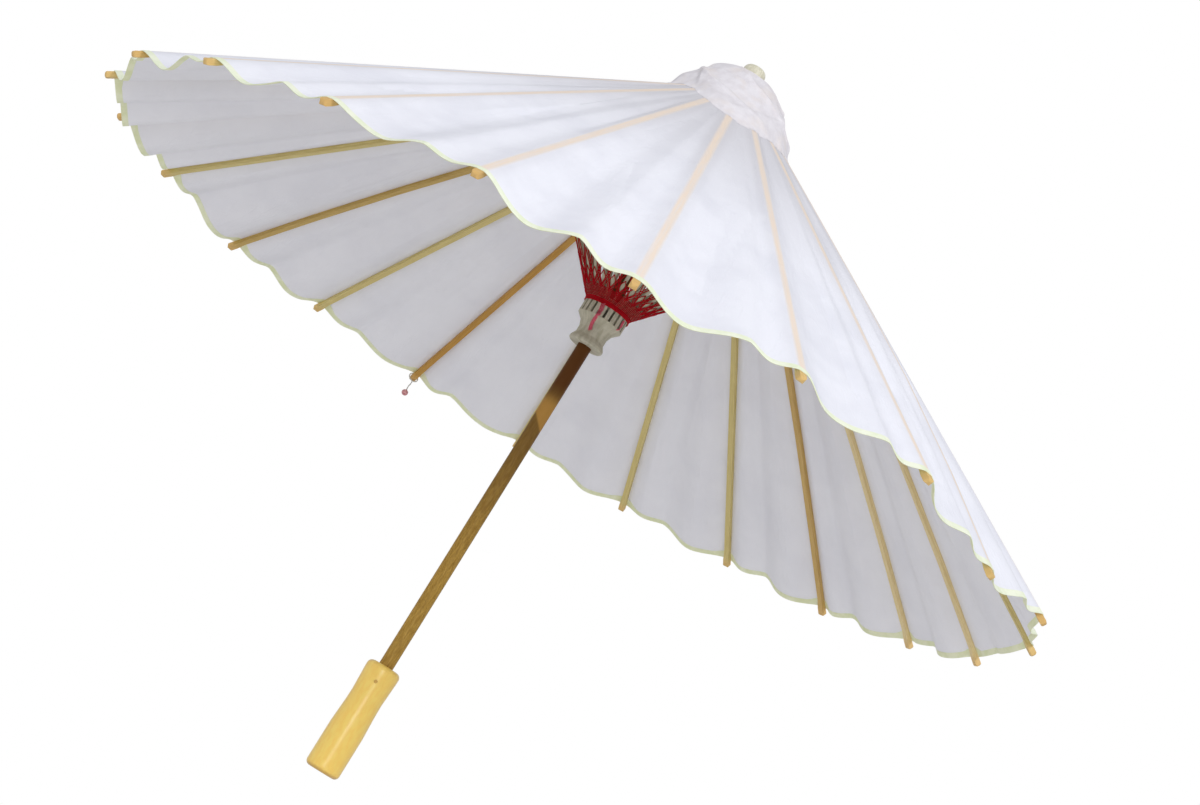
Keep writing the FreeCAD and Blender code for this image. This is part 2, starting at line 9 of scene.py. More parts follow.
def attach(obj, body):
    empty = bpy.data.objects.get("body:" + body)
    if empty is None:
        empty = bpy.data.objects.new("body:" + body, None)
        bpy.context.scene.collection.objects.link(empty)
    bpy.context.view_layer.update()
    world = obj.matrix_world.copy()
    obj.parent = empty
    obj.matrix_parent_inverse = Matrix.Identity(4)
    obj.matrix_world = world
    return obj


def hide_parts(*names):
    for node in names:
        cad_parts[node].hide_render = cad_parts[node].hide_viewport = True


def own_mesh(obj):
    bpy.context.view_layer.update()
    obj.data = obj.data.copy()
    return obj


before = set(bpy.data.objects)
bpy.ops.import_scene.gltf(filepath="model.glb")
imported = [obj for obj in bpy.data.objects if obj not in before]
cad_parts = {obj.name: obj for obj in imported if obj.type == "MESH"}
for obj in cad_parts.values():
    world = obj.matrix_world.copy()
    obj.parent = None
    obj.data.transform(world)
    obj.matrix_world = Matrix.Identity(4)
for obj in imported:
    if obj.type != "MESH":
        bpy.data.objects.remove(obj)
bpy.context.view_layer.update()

# Lengths are in millimetres until a mesh is made of them. A place "in gores" counts the gaps between ribs,
# so 2.5 is halfway from rib 2 to rib 3.
MM = 0.001
TURN = 2 * math.pi
RIB_COUNT = 22
GORE_ANGLE = TURN / RIB_COUNT

# Hinge circles as (radius, height), and slopes below the horizontal.
TOP_HINGE = (9.0, 446.7)
RIB_SLOPE = math.radians(33.66)
RIB_LENGTH = 349.6
RUNNER_HINGE = (10.0, 301.0)
SHORT_RIB_SLOPE = -math.radians(49.0)

# A long rib widens a little between these places, just short of its tip.
SWELL_START = 338.0
SWELL_END = 344.0

# Ribs that bow downwards in straight thirds beyond this place, and by how much at the tip.
BOW_START = 160.0
RIB_DROOPS = {1: 7.0, 2: 5.0, 3: 4.0, 9: 6.0, 17: 8.0, 20: 11.0}
BOW_BENDS = np.concatenate([np.linspace(BOW_START, RIB_LENGTH, 4)[:3], [SWELL_START, SWELL_END, RIB_LENGTH]])

PAPER_START = 5.0
PAPER_END = 344.6
PAPER_UNDER = 3.52
PAPER_OVER = 3.77

# The folded edge band: its width over the paper, its width under it, how much wider that is beside a rib, its
# thickness, its gap from the paper, and how far the fold stands out.
RIM_WIDTH = 3.6
RIM_WIDTH_UNDER = 3.4
RIM_EXTRA_AT_RIB = 2.6
RIM_SKIN = 0.12
RIM_GAP = 0.02
RIM_FOLD = 0.14


# ---------------------------------------------------------------- shapes


def rib_point(number, along, across, above, slope=RIB_SLOPE, hinge=TOP_HINGE):
    """Points given by their place along, across and above a rib's line."""
    number, along, across, above = np.broadcast_arrays(number, along, across, above)
    angle = number * GORE_ANGLE
    radius = hinge[0] + along * math.cos(slope) + above * math.sin(slope)
    height = hinge[1] - along * math.sin(slope) + above * math.cos(slope)
    return np.stack(
        [
            radius * np.cos(angle) - across * np.sin(angle),
            radius * np.sin(angle) + across * np.cos(angle),
            height,
        ],
        axis=-1,
    )


def short_rib_point(number, along, across, above):
    return rib_point(number, along, across, above, SHORT_RIB_SLOPE, RUNNER_HINGE)


def bow(number, along):
    """How far a rib's own bow lets it down at a place along it, following the rib's straight stretches."""
    shares = (BOW_BENDS - BOW_START) / (RIB_LENGTH - BOW_START)
    return np.interp(along, BOW_BENDS, RIB_DROOPS.get(number % RIB_COUNT, 0.0) * shares ** 2)


def bowed_rib_point(number, along, across, above):
    """Points over a long rib, following its bow."""
    return rib_point(number, along, across, above - bow(number, along))


def rib_half_width(along):
    return np.interp(along, [13.0, 79.0, SWELL_START, SWELL_END], [0.65, 1.85, 1.85, 2.0])


def gore_width(along):
    """Width of the paper between the edges of two neighbouring ribs."""
    radius = TOP_HINGE[0] + along * math.cos(RIB_SLOPE) + PAPER_UNDER * math.sin(RIB_SLOPE)
    return 2 * radius * math.sin(GORE_ANGLE / 2) - 2 * rib_half_width(along)


def smooth_step(share):
    share = np.clip(share, 0.0, 1.0)
    return share * share * (3 - 2 * share)


# Gores that hang differently from the others: where their middle fold is, how deep each side of it sags,
# and how late along the ribs the sag comes.
ODD_GORES = {
    0: (0.65, 4.0, 1.0, 1.6),
    10: (0.3, 5.0, 12.0, 1.6),
    11: (0.5, 13.0, 11.0, 1.15),
    21: (0.65, 5.0, 2.0, 1.6),
}


def gore_character(number):
    """How one gore hangs: where its middle fold is, how deep it sags, and its folds and creases."""
    chance = random.Random(4100 + number)
    folds = [
        (count, amplitude * chance.uniform(0.5, 1.3), chance.uniform(0, TURN), chance.uniform(-0.5, 0.5))
        for count, amplitude in ((2, 0.30), (3, 0.28), (5, 0.18), (8, 0.10))
    ]
    creases = []
    for _ in range(5):
        start = chance.uniform(60, 230)
        side = chance.uniform(-0.38, 0.38)
        reach = chance.uniform(50, 130)
        end_side = min(0.45, max(-0.45, side + chance.uniform(-0.22, 0.22)))
        depth = chance.choice((-1, 1)) * chance.uniform(0.5, 1.1)
        creases.append((start, side, min(335.0, start + reach), end_side, depth))
    usual = (
        0.65 + chance.uniform(-0.04, 0.04),
        8.0 * chance.uniform(0.8, 1.2),
        3.8 * chance.uniform(0.7, 1.3),
        1.6,
    )
    fold, deep, shallow, late = ODD_GORES.get(number, usual)
    return {"fold": fold, "deep": deep, "shallow": shallow, "late": late, "folds": folds, "creases": creases}


GORES = [gore_character(number) for number in range(RIB_COUNT)]


def sag(number, along, share):
    """How far the paper hangs below the straight line from rib to rib: a deep bay, then a shallow one."""
    gore = GORES[number]
    deep = np.sin(math.pi * np.clip(share / gore["fold"], 0, 1)) ** 1.5
    shallow = np.sin(math.pi * np.clip((share - gore["fold"]) / (1 - gore["fold"]), 0, 1)) ** 1.5
    fade = (along / RIB_LENGTH) ** gore["late"]
    return fade * (gore["deep"] * deep + gore["shallow"] * shallow)


def relief(number, along, share):
    """The soft folds and sharper creases of one gore, flat where the paper is glued to the ribs."""
    gore = GORES[number]
    outwards = along / RIB_LENGTH
    height = np.zeros(np.broadcast(along, share).shape)
    for count, amplitude, phase, lean in gore["folds"]:
        height += amplitude * np.sin(TURN * (count * share / 2 + lean * outwards) + phase) * (0.3 + outwards)
    across = (share - 0.5) * gore_width(along)
    for start, side, end, end_side, depth in gore["creases"]:
        first = np.array([start, side * gore_width(start)])
        run = np.array([end, end_side * gore_width(end)]) - first
        position = ((along - first[0]) * run[0] + (across - first[1]) * run[1]) / (run @ run)
        off_x = along - first[0] - np.clip(position, 0, 1) * run[0]
        off_y = across - first[1] - np.clip(position, 0, 1) * run[1]
        height += depth * np.exp(-np.hypot(off_x, off_y) / 4.5)
    return height * smooth_step(np.minimum(share, 1 - share) / 0.16)


def gore_point(number, along, share, above):
    """Points of the paper from the edge of one rib, at share 0, to the edge of the next, at share 1."""
    along, share, above = np.broadcast_arrays(along, share, above)
    near = bowed_rib_point(number, along, rib_half_width(along), above)
    far = bowed_rib_point(number + 1, along, -rib_half_width(along), above)
    middle = (number + 0.5) * GORE_ANGLE
    down = -np.array([
        math.sin(RIB_SLOPE) * math.cos(middle),
        math.sin(RIB_SLOPE) * math.sin(middle),
        math.cos(RIB_SLOPE),
    ])
    drop = sag(number, along, share) - relief(number, along, share)
    return near + (far - near) * share[..., None] + down * drop[..., None]


def unit(vectors):
    return vectors / np.linalg.norm(vectors, axis=-1, keepdims=True)


def gore_normals(number, along, share):
    """Directions square to the paper, the same on both sides of the seam inside a gore."""
    step, share_step = 0.6, 0.006
    further = gore_point(number, along + step, share, PAPER_OVER)
    nearer = gore_point(number, along - step, share, PAPER_OVER)
    after = gore_point(number, along, np.minimum(share + share_step, 1), PAPER_OVER)
    before = gore_point(number, along, np.maximum(share - share_step, 0), PAPER_OVER)
    return unit(np.cross(further - nearer, after - before))


# ---------------------------------------------------------------- meshes


def new_piece(name, points, faces, materials):
    """A mesh object from points in millimetres."""
    mesh = bpy.data.meshes.new(name)
    mesh.from_pydata((np.asarray(points) * MM).tolist(), [], faces)
    for material in materials:
        mesh.materials.append(material)
    mesh.polygons.foreach_set("use_smooth", [True] * len(mesh.polygons))
    mesh.update()
    piece = bpy.data.objects.new(name, mesh)
    bpy.context.scene.collection.objects.link(piece)
    return piece


def store(piece, name, values):
    """Keep a number or a vector at each point of a mesh, for its material to read."""
    values = np.asarray(values, dtype=np.float32)
    if values.ndim == 1:
        attribute = piece.data.attributes.new(name, "FLOAT", "POINT")
        attribute.data.foreach_set("value", values)
    else:
        attribute = piece.data.attributes.new(name, "FLOAT_VECTOR", "POINT")
        attribute.data.foreach_set("vector", values.ravel())


def grid_faces(rows, columns, offset, ring, flipped):
    faces = []
    for row in range(rows - 1):
        for column in range(columns if ring else columns - 1):
            after = (column + 1) % columns
            corners = [
                offset + row * columns + column,
                offset + (row + 1) * columns + column,
                offset + (row + 1) * columns + after,
                offset + row * columns + after,
            ]
            faces.append(corners[::-1] if flipped else corners)
    return faces


def border(rows, columns, ring):
    """Edges round a grid of points, in the order of its faces."""
    top = [(column, column + 1) for column in range(columns - 1)]
    base = (rows - 1) * columns
    if ring:
        top.append((columns - 1, 0))
        return [(b, a) for a, b in top] + [(base + a, base + b) for a, b in top]
    left = [(row * columns, (row + 1) * columns) for row in range(rows - 1)]
    right = [(b + columns - 1, a + columns - 1) for a, b in left]
    return left + [(base + a, base + b) for a, b in top] + right + [(b, a) for a, b in top]


def thin_sheet(name, outer, inner, materials, ring=False, normals=None, row_materials=None):
    """A closed sheet between two grids of points.

    The outer side has the first material and the inner side the next, unless each row is given its own.
    """
    rows, columns = outer.shape[:2]
    count = rows * columns
    points = np.concatenate([outer.reshape(-1, 3), inner.reshape(-1, 3)])
    outside = grid_faces(rows, columns, 0, ring, False)
    inside = grid_faces(rows, columns, count, ring, True)
    walls = [(b, a, a + count, b + count) for a, b in border(rows, columns, ring)]
    piece = new_piece(name, points, outside + inside + walls, materials)
    if row_materials is None:
        indices = [0] * len(outside) + [1 if len(materials) > 1 else 0] * len(inside) + [0] * len(walls)
    else:
        per_row = len(outside) // (rows - 1)
        indices = [row_materials[i // per_row] for i in range(len(outside))] * 2 + [0] * len(walls)
    piece.data.polygons.foreach_set("material_index", indices)
    if normals is None:
        normals = grid_normals(outer, ring)
    set_normals(piece.data, normals.reshape(-1, 3), len(walls))
    return piece


def grid_normals(points, ring):
    """Directions square to a surface that is given as a grid of points."""
    if ring:
        around = np.roll(points, -1, axis=1) - np.roll(points, 1, axis=1)
    else:
        around = np.gradient(points, axis=1)
    return unit(np.cross(np.gradient(points, axis=0), around))


def set_normals(mesh, outside, wall_count):
    """Shade a thin sheet smoothly on both sides, and flat on the walls round its edge."""
    corner_points = np.zeros(len(mesh.loops), dtype=np.int32)
    mesh.loops.foreach_get("vertex_index", corner_points)
    directions = np.concatenate([outside, -outside])[corner_points]
    faces = np.zeros(len(mesh.polygons) * 3, dtype=np.float32)
    mesh.polygons.foreach_get("normal", faces)
    directions[-4 * wall_count:] = np.repeat(faces.reshape(-1, 3)[-wall_count:], 4, axis=0)
    mesh.normals_split_custom_set(directions.tolist())


def tube(path, radius, sides=6):
    """Points and faces of a closed round tube along a path of points."""
    path = np.asarray(path, dtype=float)
    heading = unit(np.gradient(path, axis=0))
    aside = np.cross(heading, [0.0, 0.0, 1.0])
    weak = np.linalg.norm(aside, axis=1) < 0.05
    aside[weak] = np.cross(heading[weak], [1.0, 0.0, 0.0])
    aside = unit(aside)
    over = np.cross(heading, aside)
    turns = np.arange(sides) * TURN / sides
    ring = np.cos(turns)[None, :, None] * aside[:, None] + np.sin(turns)[None, :, None] * over[:, None]
    points = (path[:, None] + ring * radius).reshape(-1, 3)
    faces = []
    for first in range(0, (len(path) - 1) * sides, sides):
        for side in range(sides):
            after = (side + 1) % sides
            faces.append([first + side, first + after, first + sides + after, first + sides + side])
    last = (len(path) - 1) * sides
    faces.append(list(range(sides))[::-1])
    faces.append([last + side for side in range(sides)])
    return points, faces


def thread_piece(name, paths, radius, material):
    """One mesh of many threads."""
    points, faces = [], []
    count = 0
    for path in paths:
        some_points, some_faces = tube(path, radius)
        points.append(some_points)
        faces += [[corner + count for corner in face] for face in some_faces]
        count += len(some_points)
    return new_piece(name, np.concatenate(points), faces, [material])


# ---------------------------------------------------------------- materials


def shade(red, green, blue):
    """A shader colour from display values of 0 to 255."""
    return tuple(((value / 255 + 0.055) / 1.055) ** 2.4 for value in (red, green, blue)) + (1.0,)


def new_material(name, roughness, coat=0.0, coat_roughness=0.2, specular=0.5):
    material = bpy.data.materials.new(name)
    material.use_nodes = True
    shader = material.node_tree.nodes["Principled BSDF"]
    shader.inputs["Roughness"].default_value = roughness
    shader.inputs["Coat Weight"].default_value = coat
    shader.inputs["Coat Roughness"].default_value = coat_roughness
    shader.inputs["Specular IOR Level"].default_value = specular
    return material, material.node_tree, shader


def add(tree, kind, inputs=None, **settings):
    """Add a shader node. Each input is a value, or the output that feeds it."""
    node = tree.nodes.new("ShaderNode" + kind)
    for name, value in settings.items():
        setattr(node, name, value)
    for name, value in (inputs or {}).items():
        if isinstance(value, bpy.types.NodeSocket):
            tree.links.new(value, node.inputs[name])
        else:
            node.inputs[name].default_value = value
    return node


def maths(tree, operation, first, second=0.0, third=0.0):
    return add(tree, "Math", {0: first, 1: second, 2: third}, operation=operation).outputs[0]


def spread(tree, value, low, high, new_low=0.0, new_high=1.0):
    """The value taken smoothly from one range to another."""
    inputs = {"Value": value, "From Min": low, "From Max": high, "To Min": new_low, "To Max": new_high}
    return add(tree, "MapRange", inputs, interpolation_type="SMOOTHSTEP").outputs[0]


def mixed(tree, share, first, second):
    return add(tree, "Mix", {0: share, 6: first, 7: second}, data_type="RGBA").outputs[2]


def noise(tree, place, scale, detail=2.0, roughness=0.5):
    inputs = {"Vector": place, "Scale": scale, "Detail": detail, "Roughness": roughness}
    return add(tree, "TexNoise", inputs).outputs[0]


def stretched(tree, x, y, z):
    return add(tree, "CombineXYZ", {0: x, 1: y, 2: z}).outputs[0]


def up_the_sides(tree, x, y, z, share):
    """A place that changes with the direction from the shaft, and only a little with height."""
    angle = maths(tree, "ARCTAN2", y, x)
    height = maths(tree, "MULTIPLY", z, share)
    return stretched(tree, maths(tree, "COSINE", angle), maths(tree, "SINE", angle), height)


def millimetres(tree):
    """The object's own coordinates in millimetres, as three outputs."""
    place = add(tree, "TexCoord").outputs["Object"]
    scaled = add(tree, "VectorMath", {0: place, 3: 1 / MM}, operation="SCALE").outputs[0]
    return add(tree, "SeparateXYZ", {0: scaled}).outputs


def bumped(tree, shader, height, distance):
    normal = add(tree, "Bump", {"Height": height, "Distance": distance * MM}).outputs[0]
    tree.links.new(normal, shader.inputs["Normal"])


def paint(tree, shader, colour):
    tree.links.new(colour, shader.inputs["Base Color"])


def bamboo(name, pale, dark, azimuth, slope, hinge, tip=None):
    """Split bamboo: fibres along the rib, darker flecks, and a warmer tip on a long rib."""
    material, tree, shader = new_material(name, 0.5, specular=0.35)
    x, y, z = millimetres(tree)
    cosine, sine = math.cos(azimuth), math.sin(azimuth)
    radial = maths(tree, "ADD", maths(tree, "MULTIPLY", x, cosine), maths(tree, "MULTIPLY", y, sine))
    across = maths(tree, "SUBTRACT", maths(tree, "MULTIPLY", y, cosine), maths(tree, "MULTIPLY", x, sine))
    outwards = maths(tree, "SUBTRACT", radial, hinge[0])
    upwards = maths(tree, "SUBTRACT", z, hinge[1])
    along = maths(
        tree, "SUBTRACT",
        maths(tree, "MULTIPLY", outwards, math.cos(slope)), maths(tree, "MULTIPLY", upwards, math.sin(slope)),
    )
    above = maths(
        tree, "ADD",
        maths(tree, "MULTIPLY", outwards, math.sin(slope)), maths(tree, "MULTIPLY", upwards, math.cos(slope)),
    )
    shift = 17.0 * azimuth
    fibre_along = maths(tree, "MULTIPLY_ADD", along, 0.03, shift)
    fibre_across = maths(tree, "MULTIPLY", across, 2.2)
    fibres = noise(tree, stretched(tree, fibre_along, fibre_across, above), 1.6, 4.0, 0.65)
    patch_place = stretched(tree, maths(tree, "MULTIPLY_ADD", along, 0.02, shift), 0.0, 0.0)
    patches = noise(tree, patch_place, 1.0, 3.0, 0.6)
    colour = mixed(tree, spread(tree, fibres, 0.3, 0.72), dark, pale)
    colour = mixed(tree, spread(tree, patches, 0.45, 0.8, 0.0, 0.45), colour, dark)
    if tip is not None:
        near_tip = spread(tree, along, RIB_LENGTH - 10.0, RIB_LENGTH - 2.0, 0.0, 0.7)
        colour = mixed(tree, near_tip, colour, tip)
    paint(tree, shader, colour)
    bumped(tree, shader, fibres, 0.12)
    return material


def turned_wood(name, pale, dark, roughness, coat, lines, specular=0.5):
    """Turned wood: streaks up the shaft and the faint rings that the tool leaves."""
    material, tree, shader = new_material(name, roughness, coat, 0.32, specular)
    x, y, z = millimetres(tree)
    streaks = noise(tree, up_the_sides(tree, x, y, z, 0.035), 5.0, 3.0, 0.5)
    blotches = noise(tree, stretched(tree, x, y, maths(tree, "MULTIPLY", z, 0.4)), 0.11, 2.0)
    rings = noise(tree, stretched(tree, 0.0, 0.0, z), 2.6, 2.0)
    colour = mixed(tree, spread(tree, streaks, 0.32, 0.68), dark, pale)
    colour = mixed(tree, spread(tree, blotches, 0.45, 0.75, 0.0, 0.3), colour, dark)
    paint(tree, shader, colour)
    bumped(tree, shader, maths(tree, "ADD", rings, maths(tree, "MULTIPLY", streaks, 0.6)), lines)
    return material, tree, shader, colour, (x, y, z)


def shaft_wood():
    """A stained bamboo pole, darker towards the top, with painted shade from the canopy just under the
    runner, and one worn patch that ends on a slant.
    """
    pale, dark = shade(188, 150, 70), shade(162, 124, 50)
    material, tree, shader, colour, (x, _, z) = turned_wood("shaft_wood", pale, dark, 0.5, 0.0, 0.008, 0.2)
    colour = mixed(tree, spread(tree, z, 120.0, 225.0, 0.0, 0.75), colour, shade(96, 66, 24))
    slant = maths(tree, "MULTIPLY_ADD", x, 1.1, z)
    worn = maths(tree, "MULTIPLY", spread(tree, slant, 225.0, 227.0), spread(tree, z, 236.0, 246.0, 1.0, 0.0))
    colour = mixed(tree, maths(tree, "MULTIPLY", worn, 0.9), colour, shade(182, 136, 64))
    # Painted shade: the canopy's shade on the shaft just under the runner.
    colour = mixed(tree, spread(tree, z, 238.0, 252.0), colour, shade(90, 50, 0))
    paint(tree, shader, colour)
    return material


def handle_wood():
    """Pale golden wood under clear lacquer, darker round its foot."""
    material, tree, shader, colour, (_, _, z) = turned_wood(
        "handle_wood", shade(255, 220, 112), shade(253, 210, 100), 0.3, 0.4, 0.008
    )
    colour = mixed(tree, spread(tree, z, 0.4, 2.6, 0.75, 0.0), colour, shade(190, 142, 60))
    paint(tree, shader, colour)
    return material


def notch_wood():
    """Matt grey-beige wood with plain tool marks."""
    return turned_wood("notch_wood", shade(196, 190, 170), shade(172, 166, 144), 0.62, 0.0, 0.25, 0.3)[0]


def ivory_wood():
    """Pale painted wood with a soft gloss."""
    return turned_wood("ivory_wood", shade(226, 222, 202), shade(206, 202, 178), 0.45, 0.15, 0.08)[0]


def paper(name, pale, dull, painted_shade, shadow, rib_colour, rib_strength, coat):
    """Oiled paper: fibres, soft blotches of oil, fine creases with a little painted shade, and the rib with
    its shadow painted where it shows through.

    Painted shade makes it darker towards the hub and beside the ribs.
    """
    material, tree, shader = new_material(name, 0.55, coat, 0.45, 0.3)
    place = add(tree, "Attribute", attribute_name="paper").outputs["Vector"]
    from_rib = add(tree, "Attribute", attribute_name="from_rib").outputs["Fac"]
    along, across, gore = add(tree, "SeparateXYZ", {0: place}).outputs
    own = maths(tree, "MULTIPLY", gore, 37.0)
    here = stretched(tree, along, across, own)
    fibres = noise(tree, stretched(tree, maths(tree, "MULTIPLY", along, 0.35), across, own), 1.1, 5.0, 0.7)
    oil = noise(tree, here, 0.022, 3.0, 0.6)
    veins = noise(tree, stretched(tree, maths(tree, "MULTIPLY", along, 0.3), across, own), 0.11, 3.0, 0.55)
    crease = maths(tree, "ABSOLUTE", maths(tree, "SUBTRACT", veins, 0.5))
    crease = spread(tree, crease, 0.0, 0.045, 1.0, 0.0)
    colour = mixed(tree, spread(tree, oil, 0.35, 0.72), pale, dull)
    colour = mixed(tree, maths(tree, "MULTIPLY", fibres, 0.1), colour, dull)
    # Painted shade, a little darker along the fine creases.
    colour = mixed(tree, maths(tree, "MULTIPLY", crease, 0.05), colour, dull)
    streak_along = maths(tree, "MULTIPLY", along, 0.05)
    streak_across = maths(tree, "MULTIPLY", across, 0.8)
    streak = noise(tree, stretched(tree, streak_along, streak_across, own), 1.0, 3.0)
    # Painted shade, darker towards the hub.
    colour = mixed(tree, spread(tree, along, 20.0, 240.0, 0.8, 0.0), colour, painted_shade)
    # Painted shade beside each rib, strongest near the hub.
    shade_beside_rib = maths(
        tree, "MULTIPLY",
        spread(tree, from_rib, 2.4, 9.0, shadow, 0.0), spread(tree, along, 30.0, 260.0, 1.0, 0.3),
    )
    colour = mixed(tree, shade_beside_rib, colour, painted_shade)
    # Painted show-through: the rib's colour and its shadow seen through the paper.
    over_rib = spread(tree, from_rib, 1.0, 3.1, 1.0, 0.0)
    rib_and_shadow_through = maths(tree, "MULTIPLY", over_rib, spread(tree, streak, 0.2, 0.7, 0.6, 1.0))
    colour = mixed(tree, maths(tree, "MULTIPLY", rib_and_shadow_through, rib_strength), colour, rib_colour)
    paint(tree, shader, colour)
    height = maths(tree, "ADD", maths(tree, "MULTIPLY", crease, 0.12), maths(tree, "MULTIPLY", fibres, 0.25))
    height = maths(tree, "ADD", height, oil)
    bumped(tree, shader, height, 0.5)
    return material


def rim_paper(name, pale, dark):
    material, tree, shader = new_material(name, 0.7, specular=0.25)
    x, y, z = millimetres(tree)
    blotch = noise(tree, stretched(tree, x, y, z), 0.16, 4.0, 0.6)
    fibres = noise(tree, stretched(tree, x, y, z), 1.3, 4.0, 0.7)
    paint(tree, shader, mixed(tree, spread(tree, blotch, 0.35, 0.68), pale, dark))
    bumped(tree, shader, fibres, 0.12)
    return material


def cap_paper():
    """Layers of soft white paper, with painted shade that makes them greyer in their folds."""
    material, tree, shader = new_material("cap_paper", 0.65, specular=0.25)
    x, y, z = millimetres(tree)
    here = stretched(tree, x, y, z)
    pleats = noise(tree, up_the_sides(tree, x, y, z, 0.03), 6.0, 3.0, 0.6)
    fibres = noise(tree, here, 0.9, 4.0, 0.7)
    soft = noise(tree, here, 0.09, 2.0)
    # Painted shade: greyer in the pleats.
    colour = mixed(tree, spread(tree, pleats, 0.3, 0.75), shade(231, 228, 233), shade(219, 215, 220))
    colour = mixed(tree, spread(tree, soft, 0.45, 0.75, 0.0, 0.6), colour, shade(229, 220, 216))
    paint(tree, shader, colour)
    bumped(tree, shader, maths(tree, "ADD", pleats, maths(tree, "MULTIPLY", fibres, 0.5)), 0.2)
    return material


def thread(name, pale, dark):
    """Spun thread: slanting strands, a little raised."""
    material, tree, shader = new_material(name, 0.75, specular=0.12)
    x, y, z = millimetres(tree)
    slanting = stretched(tree, maths(tree, "ADD", x, z), maths(tree, "ADD", y, z), z)
    strands = noise(tree, slanting, 2.2, 3.0, 0.6)
    paint(tree, shader, mixed(tree, spread(tree, strands, 0.35, 0.65), dark, pale))
    bumped(tree, shader, strands, 0.15)
    return material


def bead_gloss():
    material, tree, shader = new_material("bead", 0.25, 0.6, 0.08)
    x, y, z = millimetres(tree)
    clouds = noise(tree, stretched(tree, x, y, z), 0.5, 2.0)
    cloudy = spread(tree, clouds, 0.35, 0.7)
    paint(tree, shader, mixed(tree, cloudy, shade(222, 160, 160), shade(196, 120, 124)))
    return material


# ---------------------------------------------------------------- the frame's own pieces

OLIVE = (shade(223, 205, 140), shade(199, 179, 112))
TAN = (shade(216, 183, 116), shade(190, 153, 85))
BROWN = (shade(201, 154, 72), shade(172, 123, 45))
OLIVE_BROWN = (shade(208, 177, 106), shade(180, 147, 77))
STRAW = (shade(240, 220, 170), shade(221, 197, 141))
RIB_TINTS = {
    1: STRAW, 2: STRAW, 3: TAN, 4: OLIVE, 5: OLIVE, 6: OLIVE, 7: BROWN, 8: OLIVE, 9: OLIVE_BROWN, 10: OLIVE,
    13: OLIVE_BROWN, 16: TAN, 19: OLIVE,
}
RIB_TIP = shade(222, 180, 112)
CATCH_AZIMUTH = math.radians(97.4)

PLAIN = {
    "shaft": shaft_wood(),
    "handle": handle_wood(),
    "upper_notch": notch_wood(),
    "finial": ivory_wood(),
    "upper_notch_thread": thread("white_thread", shade(226, 224, 216), shade(196, 192, 182)),
    "catch": bamboo("catch_bamboo", shade(178, 134, 74), shade(140, 96, 44), CATCH_AZIMUTH, 0.0, (0.0, 0.0)),
    "handle_pin": bamboo("handle_pin_bamboo", shade(226, 184, 96), shade(196, 150, 70), 0.0, 0.0, (0.0, 0.0)),
    "catch_pin": bamboo("pin_bamboo", shade(164, 120, 62), shade(116, 76, 34), 0.0, 0.0, (0.0, 0.0)),
}
PLAIN["runner"] = PLAIN["upper_notch"]
PLAIN["notch_pin"] = PLAIN["catch_pin"]
RED_THREAD = thread("red_thread", shade(188, 2, 26), shade(150, 0, 12))
PLAIN["runner_thread"] = RED_THREAD
for number in range(RIB_COUNT):
    azimuth = number * GORE_ANGLE
    pale, dark = RIB_TINTS.get(number, TAN if number % 2 else OLIVE)
    PLAIN[f"long_rib_{number:02d}"] = bamboo(
        f"rib_bamboo_{number:02d}", pale, dark, azimuth, RIB_SLOPE, TOP_HINGE, RIB_TIP
    )
    PLAIN[f"short_rib_{number:02d}"] = bamboo(
        f"short_rib_bamboo_{number:02d}", shade(194, 188, 166), shade(158, 150, 124), azimuth,
        SHORT_RIB_SLOPE, RUNNER_HINGE,
    )
for node, material in PLAIN.items():
    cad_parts[node].data.materials.clear()
    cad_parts[node].data.materials.append(material)


# ---------------------------------------------------------------- the canopy

PAPER = [
    paper(
        "paper_outside", shade(240, 241, 249), shade(230, 231, 240), shade(204, 202, 207), 0.6,
        shade(242, 222, 200), 0.85, 0.1,
    ),
    paper(
        "paper_inside", shade(239, 238, 242), shade(233, 232, 237), shade(232, 230, 233), 0.3,
        shade(214, 208, 196), 0.3, 0.0,
    ),
]
RIM = [
    rim_paper("rim_paper_outside", shade(240, 244, 224), shade(230, 238, 208)),
    rim_paper("rim_paper_inside", shade(236, 238, 206), shade(226, 230, 186)),
]
ROWS = np.linspace(PAPER_START, PAPER_END, 114)[:, None]


def rim_profile(near_rib):
    """The edge band line by line, from its upper hem round the paper's edge to its lower hem.

    Each line has its place back from the edge, its height, and its thickness upwards, which is 0 at the fold.
    """
    under = RIM_WIDTH_UNDER + RIM_EXTRA_AT_RIB * near_rib
    high, low = PAPER_OVER + RIM_GAP, PAPER_UNDER - RIM_GAP
    return [
        (RIM_WIDTH, high, RIM_SKIN),
        (0.5 * RIM_WIDTH, high, RIM_SKIN),
        (0.0, high, RIM_SKIN),
        (-RIM_GAP, 0.5 * (high + low), 0.0),
        (0.0, low, -RIM_SKIN),
        (0.5 * under, low, -RIM_SKIN),
        (under, low, -RIM_SKIN),
    ]


def rim_piece(name, surface, near_rib):
    """A strip of paper folded over the canopy's edge. The surface gives points from along and above."""
    outer, inner = [], []
    for back, above, skin in rim_profile(near_rib):
        push = RIM_FOLD if skin == 0.0 else 0.0
        outer.append(surface(PAPER_END - back + push, above + skin))
        inner.append(surface(PAPER_END - back, above))
    return thin_sheet(name, np.stack(outer), np.stack(inner), RIM, row_materials=[0, 0, 0, 1, 1, 1])


